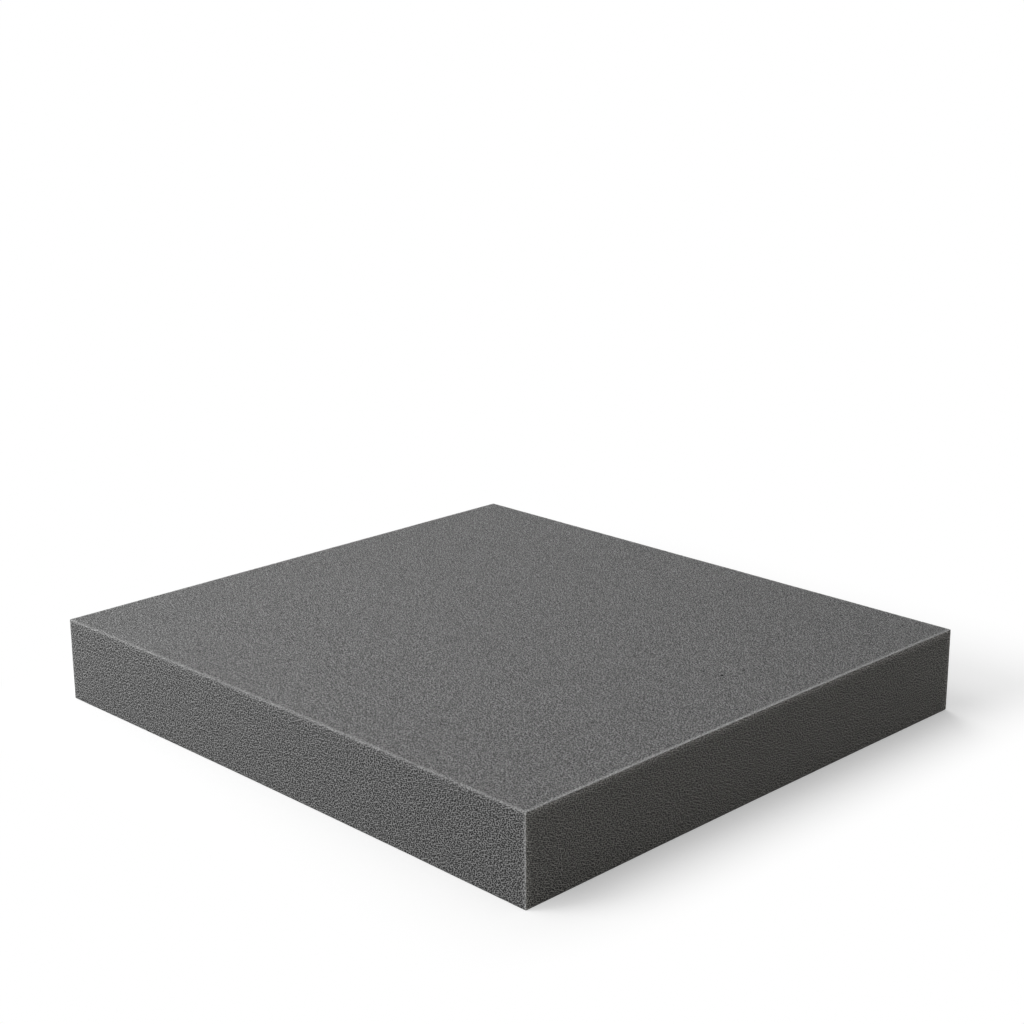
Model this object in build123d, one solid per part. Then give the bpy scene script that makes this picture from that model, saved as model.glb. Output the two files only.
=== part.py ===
"""Upholstery foam sheet: one slab of open-cell foam, cut to size and lying on its broad face."""

from build123d import *
import os

# Overall sizes in millimetres. The origin is the middle of the underside, with +Z up.
length = 380.0  # along X
width = 350.0  # along Y
thickness = 50.0  # along Z, the depth that the stock was split to

# Cut edges
front_hollow = 1.2  # how far the front cut bends inwards at the middle of its run
right_hollow = 0.7  # the same for the right-hand cut
arris_radius = 0.6  # softening wherever two cut faces meet


def plan():
    """Outline from above: two straight factory sides and two hand cuts that bend inwards."""
    half_length = length / 2
    half_width = width / 2
    front_left = (-half_length, -half_width)
    front_right = (half_length, -half_width)
    back_right = (half_length, half_width)
    back_left = (-half_length, half_width)
    front_cut = ThreePointArc(front_left, (0, front_hollow - half_width), front_right)
    right_cut = ThreePointArc(front_right, (half_length - right_hollow, 0), back_right)
    factory_sides = Polyline(back_right, back_left, front_left)
    return make_face([front_cut, right_cut, factory_sides])


def foam_sheet():
    """The slab with all its arrises softened, as the springy foam leaves them behind the blade."""
    slab = extrude(plan(), amount=thickness, dir=(0, 0, 1))
    return fillet(slab.edges(), radius=arris_radius)


os.makedirs("parts", exist_ok=True)
export_step(foam_sheet(), "parts/foam_sheet.step")
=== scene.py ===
import math

import bpy
import numpy as np
from mathutils import Euler, Matrix, Vector, noise
from mathutils.bvhtree import BVHTree
from mathutils.geometry import delaunay_2d_cdt


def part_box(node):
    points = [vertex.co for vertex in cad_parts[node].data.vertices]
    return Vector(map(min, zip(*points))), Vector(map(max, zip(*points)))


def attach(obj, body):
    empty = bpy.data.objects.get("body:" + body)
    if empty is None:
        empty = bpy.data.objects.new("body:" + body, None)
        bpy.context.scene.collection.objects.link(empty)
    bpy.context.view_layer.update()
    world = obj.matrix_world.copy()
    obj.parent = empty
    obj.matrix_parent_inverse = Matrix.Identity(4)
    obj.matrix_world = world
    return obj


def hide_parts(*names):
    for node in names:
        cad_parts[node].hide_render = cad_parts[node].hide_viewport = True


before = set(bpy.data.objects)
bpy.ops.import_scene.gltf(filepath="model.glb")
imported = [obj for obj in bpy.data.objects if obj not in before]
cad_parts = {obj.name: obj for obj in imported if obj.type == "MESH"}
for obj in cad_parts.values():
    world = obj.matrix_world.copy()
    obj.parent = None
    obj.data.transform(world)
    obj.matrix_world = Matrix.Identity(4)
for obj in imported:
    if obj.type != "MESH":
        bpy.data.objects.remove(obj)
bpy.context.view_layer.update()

MM = 0.001

# Camera, fitted to the sheet's edges in the photograph
CAMERA_PLACE = Vector((764.6, -752.9, 429.8)) * MM
CAMERA_DOWN_DEG = 16.19
CAMERA_TURN_DEG = 45.24
CAMERA_ROLL_DEG = -0.21
CAMERA_LENS_MM = 68.28
SENSOR_MM = 36.0

# Light: soft round lamps in an even surround, each with its turn from +X and its rise in degrees,
# its distance from the sheet and its power
LAMPS = {
    "key": (260.0, 65.0, 1.0, 2.1),
    "fill": (244.0, 25.0, 1.0, 4.9),
    "rim": (150.0, 10.0, 3.0, 81.0),
}
LAMP_SIZE_SHARE = 0.63
SURROUND_LEVEL = 0.38

# Floor: white where it is lit, with the sheet's shadow, and plain white some way out along X and Y.
# That reach is counted from a middle that lies behind the sheet's own, as the shadow falls that way
FLOOR_SIDE = 60.0
FLOOR_BOUNCE = 0.6
FLOOR_LIT_SHARE = 0.86
FLOOR_GLOW = 0.285
FLOOR_SHADE_MIDDLE = (0.0, 0.044, 0.0)
FLOOR_SHADE_REACHES = (0.06, 0.12, 1.0)

# Mesh of the foam: rings of points along each edge, then scattered points at their own pitch on each face
EDGE_PITCH = 1.3 * MM
EDGE_INSETS = (0.0, 0.35 * MM, 0.8 * MM, 1.6 * MM)
TOP_PITCH = 2.6 * MM
SIDE_PITCH = 2.0 * MM
UNDERSIDE_PITCH = 12.0 * MM
SCATTER_SHARE = 0.33
SAME_POINT = 0.001 * MM
CORNER_MARGIN = 1.0 * MM
RAY_START_SHARE = 2.0  # of the sheet's half length or width, well outside it
MAP_GAP = 4.0 * MM
SEED = 7

# Relief that is cut into the mesh, always inwards
FACE_RELIEF = 0.05 * MM
ARRIS_RELIEF = 0.06 * MM
RELIEF_POWER = 2
CALM_EDGE = 3.0 * MM
WAVE_LENGTH = 45.0 * MM
WAVE_DEPTH = 0.12 * MM

# Pinholes on the top face: place along X and Y, and radius
PINHOLES_MM = ((143.2, 23.8, 1.2), (132.6, 21.0, 1.0), (146.5, 38.5, 0.8), (180.0, -9.1, 0.8))
PINHOLE_RING_SHARES = (0.0, 0.5, 1.0, 1.5)
PINHOLE_RING_POINTS = 9
PINHOLE_DEPTH_SHARE = 2.0
PINHOLE_RIM = 0.4 * MM

# Foam on faces that look along X, Y and Z: colour, with a painted shade of its own on each face (a warm
# cast of shade on the faces along X, darker on those along Y), size of the cells, how unevenly these lie,
# how strongly they show, and how much they differ from each other
FOAM_COLOURS_WITH_PAINTED_SHADE = ((0.155, 0.152, 0.142), (0.1385, 0.1385, 0.138), (0.1515, 0.1515, 0.151))
CELLS = (0.9 * MM, 0.94 * MM, 0.9 * MM)
UNEVEN_SHARES = (0.7, 0.7, 1.0)
CONTRAST_SHARES = (1.15, 1.35, 0.9)
MOTTLE_SHARES = (0.1, 0.0, 0.66)

# Foam's finish
FOAM_ROUGHNESS = 0.95
FOAM_SPECULAR = 0.15
FOAM_SHEEN = 0.05
FOAM_SHEEN_ROUGHNESS = 0.6

# Grain: a maze of pale struts and dark cells
GRAIN_TURN_DEG = 23.0
GRAIN_RANGE = (0.2, 0.5)
GRAIN_DEPTH = 0.5 * MM
STRUT_COVER_SHARE = 0.62  # about the mean of the maze, so that contrast hardly moves a face's mean tone
BLOTCH_LENGTH = 14.0 * MM
BLOTCH_DETAIL = 3.0
BLOTCH_RANGE = (0.3, 0.7)
BLOTCH_SHARES = (0.98, 1.02)

# Arrises: a painted highlight on each side of an edge, where the furry edge catches light, with a wide soft
# painted halo of light beside it. For faces that look along X, Y and Z: how wide the line is, and how
# strongly the highlight and the halo are painted beside edges that run along X, Y and Z
# Colour of the painted highlight along the arrises
ARRIS_HIGHLIGHT_COLOUR = (0.75, 0.75, 0.745, 1)
ARRIS_WIDTHS = (0.65 * MM, 2.0 * MM, 2.7 * MM)
ARRIS_HIGHLIGHT_SHARES = ((0.0, 0.22, 0.75), (0.37, 0.0, 0.9), (0.42, 0.95, 0.0))
ARRIS_FADE = 1.5
ARRIS_FUZZ_SHARES = (0.4, 1.0)
ARRIS_CALM_SHARE = 0.75
# Painted halo of light on the faces beside their edges: its width, how fast it fades, and its strength
PAINTED_HALO_WIDTH = 5.5 * MM
PAINTED_HALO_FADE = 2.0
PAINTED_HALO_SHARES = ((0.0, 1.1, 0.75), (0.28, 0.0, 0.28), (0.0, 0.0, 0.0))
FAR_SIDE_SHARE = 0.4  # of this paling on the factory side at -X, which stands full in the rim light

# Sockets of a Mix node that mixes colours: its factor, its two colours and its result
MIX_FACTOR = 0
MIX_FIRST = 6
MIX_SECOND = 7
MIX_RESULT = 2


def scattered(half_u, half_v, pitch, rng):
    """Points over a rectangle, in staggered rows that are then pushed about."""
    rows = max(2, round(2 * half_v / (pitch * math.sqrt(3) / 2)))
    columns = max(2, round(2 * half_u / pitch))
    row_places = np.linspace(-half_v, half_v, rows)
    column_places = np.linspace(-half_u, half_u, columns)
    v, u = np.meshgrid(row_places, column_places, indexing="ij")
    stagger = np.where(np.arange(rows) % 2, pitch / 4, -pitch / 4)[:, None]
    points = np.stack([u + stagger, v], axis=-1).reshape(-1, 2)
    points += rng.uniform(-1, 1, points.shape) * SCATTER_SHARE * pitch
    return np.clip(points, (-half_u, -half_v), (half_u, half_v))


def ring(half_u, half_v, inset, pitch):
    """Evenly spaced points round a rectangle that lies inset from a face's edges."""
    a, b = half_u - inset, half_v - inset
    along_u = np.linspace(-a, a, round(2 * half_u / pitch) + 1)
    along_v = np.linspace(-b, b, round(2 * half_v / pitch) + 1)[1:-1]
    rows = [np.c_[along_u, np.full_like(along_u, end)] for end in (-b, b)]
    columns = [np.c_[np.full_like(along_v, end), along_v] for end in (-a, a)]
    return np.concatenate(rows + columns)


def face_points(half_u, half_v, pitch, rng, pinholes):
    """All the points of one face, in its own two directions, with rings of them in each pinhole."""
    rings = [ring(half_u, half_v, inset, EDGE_PITCH) for inset in EDGE_INSETS]
    margin = EDGE_INSETS[-1] + pitch * (1 - SCATTER_SHARE) / 2
    middle = scattered(half_u - margin, half_v - margin, pitch, rng)
    around = np.arange(PINHOLE_RING_POINTS) * 2 * math.pi / PINHOLE_RING_POINTS
    for u, v, radius in pinholes:
        away = np.hypot(middle[:, 0] - u, middle[:, 1] - v)
        middle = middle[away > radius * PINHOLE_RING_SHARES[-1] + pitch / 2]
        for share in PINHOLE_RING_SHARES:
            turn = around if share else around[:1]
            rings.append(np.c_[u + share * radius * np.cos(turn), v + share * radius * np.sin(turn)])
    return np.concatenate(rings + [middle])


def map_places(half):
    """Where each face, named by its axis and sign, lies in the square bake map: left and bottom in metres,
    and its scale."""
    length, width, thick = 2 * half
    right, above = length + MAP_GAP, width + MAP_GAP
    strip = thick + MAP_GAP
    small_share = (strip + thick) / max(length, width)
    return {
        (2, 1): (0, 0, 1),
        (0, -1): (right, 0, 1),
        (0, 1): (right + strip, 0, 1),
        (1, -1): (0, above, 1),
        (1, 1): (0, above + strip, 1),
        (2, -1): (right, above, small_share),
    }


def nearest_edge(place, half, axis):
    """How far a point of a face lies from the top and upright edges, which way the nearest one runs, and
    whether that one bounds the side at -X."""
    gaps = half - np.abs(place)
    gaps[2] = half[2] - place[2]
    gaps[axis] = np.inf
    near = int(np.argmin(gaps))
    return gaps[near], 3 - axis - near, place[0] < 0 and 0 in (axis, near)


def foam_mesh():
    """One closed mesh on the box of the CAD sheet, finer along its edges and on its sides."""
    rng = np.random.default_rng(SEED)
    low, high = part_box("foam_sheet")
    centre = np.array((low + high) / 2)
    half = np.array((high - low) / 2)
    map_side = 2 * max(half[0], half[1]) + 2 * (2 * half[2] + MAP_GAP)
    known, places, triangles = {}, [], []
    corners = {"map": [], "grain": []}
    values = {"look": [], "edge_gap": [], "arris_highlight": [], "painted_halo": [], "hollow": []}
    for (axis, sign), (left, bottom, scale) in map_places(half).items():
        u_axis, v_axis = (axis + 1) % 3, (axis + 2) % 3
        is_top = (axis, sign) == (2, 1)
        pitch = TOP_PITCH if is_top else UNDERSIDE_PITCH if axis == 2 else SIDE_PITCH
        pinholes = np.array(PINHOLES_MM) * MM if is_top else ()
        flat = face_points(half[u_axis], half[v_axis], pitch, rng, pinholes)
        on_map = (flat + (half[u_axis], half[v_axis])) * scale
        on_map = (on_map if axis == 2 else on_map[:, ::-1]) + (left, bottom)
        index = []
        for u, v in flat:
            place = np.empty(3)
            place[[axis, u_axis, v_axis]] = sign * half[axis], u, v
            key = tuple(np.round(place / SAME_POINT))
            if key not in known:
                known[key] = len(places)
                places.append(place + centre)
                gap, run, is_far = nearest_edge(place, half, axis)
                # Painted highlight and halo beside the edges, weaker on the side at -X that the rim lamp
                # lights fully
                painted_light_share = FAR_SIDE_SHARE if is_far else 1
                depths = [radius - math.hypot(u - x, v - y) for x, y, radius in pinholes]
                values["look"].append(axis)
                values["edge_gap"].append(gap)
                values["arris_highlight"].append(ARRIS_HIGHLIGHT_SHARES[axis][run] * painted_light_share)
                values["painted_halo"].append(PAINTED_HALO_SHARES[axis][run] * painted_light_share)
                values["hollow"].append(max([0] + depths))
            index.append(known[key])
        order = (0, 1, 2) if sign > 0 else (0, 2, 1)
        for face in delaunay_2d_cdt([Vector(p) for p in flat], [], [], 0, SAME_POINT)[2]:
            triangles.append([index[face[k]] for k in order])
            corners["map"].extend(on_map[face[k]] / map_side for k in order)
            corners["grain"].extend((*flat[face[k]] / CELLS[axis], 0) for k in order)
    return np.array(places), triangles, corners, {name: np.array(found) for name, found in values.items()}


def on_plan(place, surface, low, high):
    """Moves a point of the sheet's box so that the box's front and right sides fall on its hollow cuts."""
    x = min(max(place[0], low.x + CORNER_MARGIN), high.x - CORNER_MARGIN)
    y = min(max(place[1], low.y + CORNER_MARGIN), high.y - CORNER_MARGIN)
    middle = (low.z + high.z) / 2
    front = surface.ray_cast(Vector((x, RAY_START_SHARE * low.y, middle)), Vector((0, 1, 0)))[0].y
    right = surface.ray_cast(Vector((RAY_START_SHARE * high.x, y, middle)), Vector((-1, 0, 0)))[0].x
    along_x = (place[0] - low.x) * (right - low.x) / (high.x - low.x)
    along_y = (place[1] - high.y) * (front - high.y) / (low.y - high.y)
    return Vector((low.x + along_x, high.y + along_y, place[2]))


def smooth_step(value, low, high):
    """0 below low and 1 above high, with a soft rise between."""
    share = np.clip((value - low) / (high - low), 0, 1)
    return share * share * (3 - 2 * share)


def set_numbers(layer, field, numbers):
    layer.data.foreach_set(field, np.asarray(numbers, dtype=np.float32).ravel())


def build_foam():
    """The sheet itself: the mesh laid on the CAD surface, with its relief and what its material reads."""
    places, triangles, corners, values = foam_mesh()
    rng = np.random.default_rng(SEED + 1)
    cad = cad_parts["foam_sheet"].data
    surface = BVHTree.FromPolygons([v.co for v in cad.vertices], [p.vertices for p in cad.polygons])
    low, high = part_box("foam_sheet")
    inside = smooth_step(values["edge_gap"], 0, CALM_EDGE)
    relief = FACE_RELIEF * inside + ARRIS_RELIEF * (1 - inside)
    depth = relief * rng.random(len(places)) ** RELIEF_POWER + PINHOLE_DEPTH_SHARE * values["hollow"]
    points = []
    for place, inwards in zip(places, depth):
        spot, normal, _, _ = surface.find_nearest(on_plan(place, surface, low, high))
        wave = WAVE_DEPTH * (1 + noise.noise(spot / WAVE_LENGTH)) / 2
        is_under = normal.z < -abs(normal.x) - abs(normal.y)
        points.append(spot if is_under else spot - normal * (inwards + wave))
    mesh = bpy.data.meshes.new("foam")
    mesh.from_pydata(points, [], triangles)
    mesh.polygons.foreach_set("use_smooth", [True] * len(mesh.polygons))
    bake_map = mesh.uv_layers.new(name="OFBake")
    bake_map.uv.foreach_set("vector", np.array(corners["map"], dtype=np.float32).ravel())
    set_numbers(mesh.attributes.new("grain_place", "FLOAT_VECTOR", "CORNER"), "vector", corners["grain"])
    look = values["look"]
    # Each face's colour, with the painted shade of that face
    colours = np.array(FOAM_COLOURS_WITH_PAINTED_SHADE)[look]
    set_numbers(mesh.attributes.new("foam_colour_with_painted_shade", "FLOAT_VECTOR", "POINT"), "vector", colours)
    numbers = {name: values[name] for name in ("edge_gap", "arris_highlight", "painted_halo", "hollow")}
    numbers["arris_gap"] = values["edge_gap"] / np.array(ARRIS_WIDTHS)[look]
    numbers["uneven"] = np.array(UNEVEN_SHARES)[look]
    numbers["contrast"] = np.array(CONTRAST_SHARES)[look]
    numbers["mottle"] = np.array(MOTTLE_SHARES)[look]
    for name, column in numbers.items():
        set_numbers(mesh.attributes.new(name, "FLOAT", "POINT"), "value", column)
    mesh.update()
    foam = bpy.data.objects.new("foam", mesh)
    bpy.context.scene.collection.objects.link(foam)
    mesh.materials.append(foam_material())
    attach(foam, "root")
    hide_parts("foam_sheet")


def add(tree, kind, inputs=None, **settings):
    """A new node, with its settings and with inputs that are values or other nodes' outputs."""
    node = tree.nodes.new("ShaderNode" + kind)
    for name, value in settings.items():
        setattr(node, name, value)
    for name, value in (inputs or {}).items():
        socket = node.inputs[name]
        if isinstance(value, bpy.types.NodeSocket):
            tree.links.new(value, socket)
        else:
            socket.default_value = value
    return node


def maths(tree, operation, first, second=0.0, third=0.0):
    return add(tree, "Math", {0: first, 1: second, 2: third}, operation=operation).outputs[0]


def remap(tree, value, low, high, to_low=0.0, to_high=1.0, curve="SMOOTHSTEP"):
    inputs = {"Value": value, "From Min": low, "From Max": high, "To Min": to_low, "To Max": to_high}
    return add(tree, "MapRange", inputs, interpolation_type=curve).outputs[0]


def foam_material():
    """Cut open-cell foam: a close maze of pale struts and dark cells, with painted highlights along its
    furry arrises, a painted halo of light beside its edges and painted shade in its pinholes.
    """
    material = bpy.data.materials.new("cut_foam")
    material.use_nodes = True
    tree = material.node_tree
    tree.nodes.clear()
    where = add(tree, "TexCoord").outputs["Object"]
    # Colour of each face, with its painted shade
    shaded_face_colour = add(tree, "Attribute", attribute_name="foam_colour_with_painted_shade").outputs["Vector"]
    grain_place = add(tree, "Attribute", attribute_name="grain_place").outputs["Vector"]
    names = ("edge_gap", "arris_gap", "arris_highlight", "hollow", "uneven", "contrast", "mottle", "painted_halo")
    edge_gap, arris_gap, arris_highlight, hollow, uneven, contrast, mottle, painted_halo = (
        add(tree, "Attribute", attribute_name=name).outputs["Fac"] for name in names)

    # Maze of cells between the struts, with painted shade all over in the pinholes
    turn = (0.0, 0.0, math.radians(GRAIN_TURN_DEG))
    turned = add(tree, "Mapping", {"Vector": grain_place, "Rotation": turn}).outputs[0]
    cells = {"Vector": turned, "Scale": 1.0, "Randomness": uneven}
    maze = add(tree, "TexVoronoi", cells, voronoi_dimensions="2D", feature="F1")
    # Painted shade in the pinholes: no struts there, so their colour is the darkest of the maze
    unbroken = remap(tree, hollow, 0.0, PINHOLE_RIM, 1.0, 0.0)
    strut = remap(tree, maze.outputs["Distance"], *GRAIN_RANGE)
    strut = maths(tree, "MULTIPLY", strut, unbroken)

    # Tone: the maze, calmer at the arrises, then each cell's own tone, soft blotches and a painted halo of
    # light beside the edges
    swing = remap(tree, strut, 0.0, 1.0, -1.0, 1 / STRUT_COVER_SHARE - 1, curve="LINEAR")
    swing = maths(tree, "MULTIPLY", swing, remap(tree, arris_gap, 0.0, 1.0, ARRIS_CALM_SHARE, 1.0))
    tone = maths(tree, "MULTIPLY_ADD", swing, contrast, 1.0)
    chance = remap(tree, maze.outputs["Color"], 0.0, 1.0, -1.0, 1.0, curve="LINEAR")
    chance = maths(tree, "MULTIPLY", chance, unbroken)
    tone = maths(tree, "MULTIPLY_ADD", chance, mottle, tone)
    tone = maths(tree, "MAXIMUM", tone, 0.0)
    patches = {"Vector": where, "Scale": 1 / BLOTCH_LENGTH, "Detail": BLOTCH_DETAIL}
    blotch = add(tree, "TexNoise", patches).outputs["Fac"]
    blotch = remap(tree, blotch, *BLOTCH_RANGE, *BLOTCH_SHARES, curve="LINEAR")
    tone = maths(tree, "MULTIPLY", tone, blotch)
    # Painted halo of light beside the edges, brightest at the edge and fading inwards
    painted_halo_falloff = remap(tree, edge_gap, 0.0, PAINTED_HALO_WIDTH, 1.0, 0.0, curve="LINEAR")
    painted_halo_falloff = maths(tree, "POWER", painted_halo_falloff, PAINTED_HALO_FADE)
    tone = maths(tree, "MULTIPLY", tone, maths(tree, "MULTIPLY_ADD", painted_halo_falloff, painted_halo, 1.0))
    colour = add(tree, "VectorMath", {0: shaded_face_colour, "Scale": tone}, operation="SCALE").outputs[0]

    # Painted highlight along each arris, broken up by the grain like fuzz
    fuzz = remap(tree, strut, 0.0, 1.0, *ARRIS_FUZZ_SHARES)
    fade = remap(tree, arris_gap, 0.0, 1.0, 1.0, 0.0, curve="LINEAR")
    fade = maths(tree, "POWER", fade, ARRIS_FADE)
    highlight_line = maths(tree, "MULTIPLY", fade, arris_highlight)
    highlight_line = maths(tree, "MULTIPLY", highlight_line, fuzz)
    mixed = {MIX_FACTOR: highlight_line, MIX_FIRST: colour, MIX_SECOND: ARRIS_HIGHLIGHT_COLOUR}
    colour = add(tree, "Mix", mixed, data_type="RGBA").outputs[MIX_RESULT]

    # Relief of the grain, and the finish
    bump = add(tree, "Bump", {"Strength": 1.0, "Distance": GRAIN_DEPTH, "Height": strut}).outputs[0]
    shader = add(tree, "BsdfPrincipled", {"Base Color": colour, "Normal": bump})
    shader.inputs["Roughness"].default_value = FOAM_ROUGHNESS
    shader.inputs["Specular IOR Level"].default_value = FOAM_SPECULAR
    shader.inputs["Sheen Weight"].default_value = FOAM_SHEEN
    shader.inputs["Sheen Roughness"].default_value = FOAM_SHEEN_ROUGHNESS
    result = add(tree, "OutputMaterial", {"Surface": shader.outputs[0]})
    result.is_active_output = True
    return material


def seen_ray(tree):
    """1 for rays that show the background: those of the camera, and reflected or passed on ones."""
    path = add(tree, "LightPath")
    shown = maths(tree, "MAXIMUM", path.outputs["Is Camera Ray"], path.outputs["Is Glossy Ray"])
    return maths(tree, "MAXIMUM", shown, path.outputs["Is Transmission Ray"])


def build_floor():
    """A wide white floor that shows the sheet's shadow near it and is plain white beyond."""
    mesh = bpy.data.meshes.new("floor")
    reach = FLOOR_SIDE / 2
    corners = [(-reach, -reach, 0), (reach, -reach, 0), (reach, reach, 0), (-reach, reach, 0)]
    mesh.from_pydata(corners, [], [(0, 1, 2, 3)])
    floor = bpy.data.objects.new("floor", mesh)
    bpy.context.scene.collection.objects.link(floor)
    material = bpy.data.materials.new("white_floor")
    material.use_nodes = True
    tree = material.node_tree
    tree.nodes.clear()
    where = add(tree, "TexCoord").outputs["Object"]
    sheet_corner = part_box("foam_sheet")[1]
    moved = add(tree, "VectorMath", {0: where, 1: FLOOR_SHADE_MIDDLE}, operation="SUBTRACT").outputs[0]
    mirrored = add(tree, "VectorMath", {0: moved}, operation="ABSOLUTE").outputs[0]
    outside = add(tree, "VectorMath", {0: mirrored, 1: sheet_corner}, operation="SUBTRACT").outputs[0]
    outside = add(tree, "VectorMath", {0: outside, 1: (0, 0, 0)}, operation="MAXIMUM").outputs[0]
    faded = add(tree, "VectorMath", {0: outside, 1: FLOOR_SHADE_REACHES}, operation="DIVIDE").outputs[0]
    distance = add(tree, "VectorMath", {0: faded}, operation="LENGTH").outputs["Value"]
    near = remap(tree, distance, 0.0, 1.0, 1.0, 0.0)
    bounce = add(tree, "BsdfDiffuse", {"Color": (FLOOR_BOUNCE,) * 3 + (1,)})
    lit = add(tree, "BsdfDiffuse", {"Color": (FLOOR_LIT_SHARE,) * 3 + (1,)})
    glow = add(tree, "Emission", {"Color": (1, 1, 1, 1), "Strength": FLOOR_GLOW})
    shaded = add(tree, "AddShader", {0: lit.outputs[0], 1: glow.outputs[0]})
    white = add(tree, "Emission", {"Color": (1, 1, 1, 1), "Strength": 1.0})
    seen = add(tree, "MixShader", {0: near, 1: white.outputs[0], 2: shaded.outputs[0]})
    both = add(tree, "MixShader", {0: seen_ray(tree), 1: bounce.outputs[0], 2: seen.outputs[0]})
    add(tree, "OutputMaterial", {"Surface": both.outputs[0]})
    mesh.materials.append(material)


def build_world():
    """An even surround that lights the sheet dimly and is seen as plain white."""
    world = bpy.data.worlds.new("surround")
    bpy.context.scene.world = world
    world.use_nodes = True
    tree = world.node_tree
    tree.nodes.clear()
    level = remap(tree, seen_ray(tree), 0.0, 1.0, SURROUND_LEVEL, 1.0, curve="LINEAR")
    surround = add(tree, "Background", {"Color": (1, 1, 1, 1), "Strength": level})
    add(tree, "OutputWorld", {"Surface": surround.outputs[0]})


def build_lamp(name, turn_deg, rise_deg, distance, power):
    """A round soft lamp that faces the origin."""
    light = bpy.data.lights.new(name, "AREA")
    light.shape = "DISK"
    light.size = LAMP_SIZE_SHARE * distance
    light.energy = power
    lamp = bpy.data.objects.new(name, light)
    bpy.context.scene.collection.objects.link(lamp)
    turn, rise = math.radians(turn_deg), math.radians(rise_deg)
    way = Vector((math.cos(turn) * math.cos(rise), math.sin(turn) * math.cos(rise), math.sin(rise)))
    lamp.location = way * distance
    lamp.rotation_euler = way.to_track_quat("Z", "Y").to_euler()
    lamp.visible_camera = False


def build_camera():
    """The photograph's view, with no shift."""
    data = bpy.data.cameras.new("camera")
    data.sensor_width = SENSOR_MM
    data.lens = CAMERA_LENS_MM
    data.clip_end = FLOOR_SIDE * 2
    camera = bpy.data.objects.new("camera", data)
    bpy.context.scene.collection.objects.link(camera)
    aim = Euler((math.radians(90 - CAMERA_DOWN_DEG), 0, math.radians(CAMERA_TURN_DEG))).to_matrix()
    roll = Matrix.Rotation(math.radians(CAMERA_ROLL_DEG), 3, "Z")
    camera.matrix_world = Matrix.Translation(CAMERA_PLACE) @ (aim @ roll).to_4x4()
    bpy.context.scene.camera = camera


bpy.context.scene.view_settings.view_transform = "Standard"
build_foam()
build_floor()
build_world()
for name, settings in LAMPS.items():
    build_lamp(name, *settings)
build_camera()
